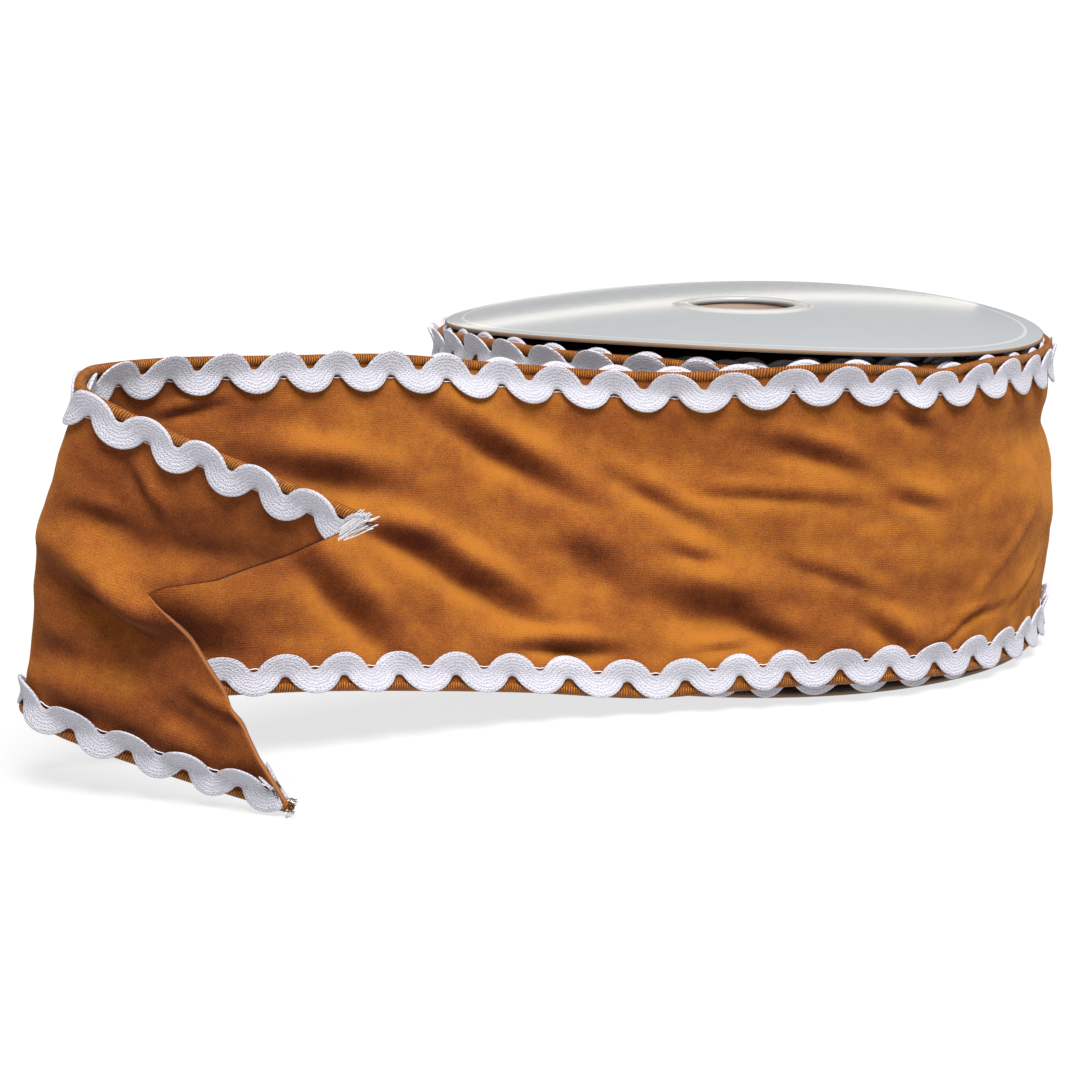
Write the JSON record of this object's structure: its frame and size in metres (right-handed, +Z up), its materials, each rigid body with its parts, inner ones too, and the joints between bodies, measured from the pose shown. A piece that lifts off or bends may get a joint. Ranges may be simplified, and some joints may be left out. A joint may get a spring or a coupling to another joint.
{
  "type": "roll of wired ribbon on a card spool",
  "caption": "Wide wired ribbon with wavy braid sewn along both edges, wound on a flat card spool, its loose end folded back and cut in a V.",
  "frame": {"origin": "middle of the object's plan on the surface it stands on", "axes": "+Z up along the spool's axis, +Y from the folded-back end towards the spool, +X to the spool's side"},
  "size_m": [0.2012, 0.2283, 0.0731],
  "materials": {
    "suede_cloth": "soft napped suede-like cloth",
    "white_braid": "matt woven braid",
    "grey_card": "gloss coated",
    "brown_card": "raw kraft"
  },
  "bodies": {
    "root": {"flange_top": "grey_card", "flange_bottom": "grey_card", "core_tube": "brown_card", "ribbon_roll": "suede_cloth", "tail_cloth": "suede_cloth", "ricrac_outer_top": "white_braid", "ricrac_outer_bottom": "white_braid", "ricrac_inner_top": "white_braid", "ricrac_inner_bottom": "white_braid"}
  },
  "joints": []
}
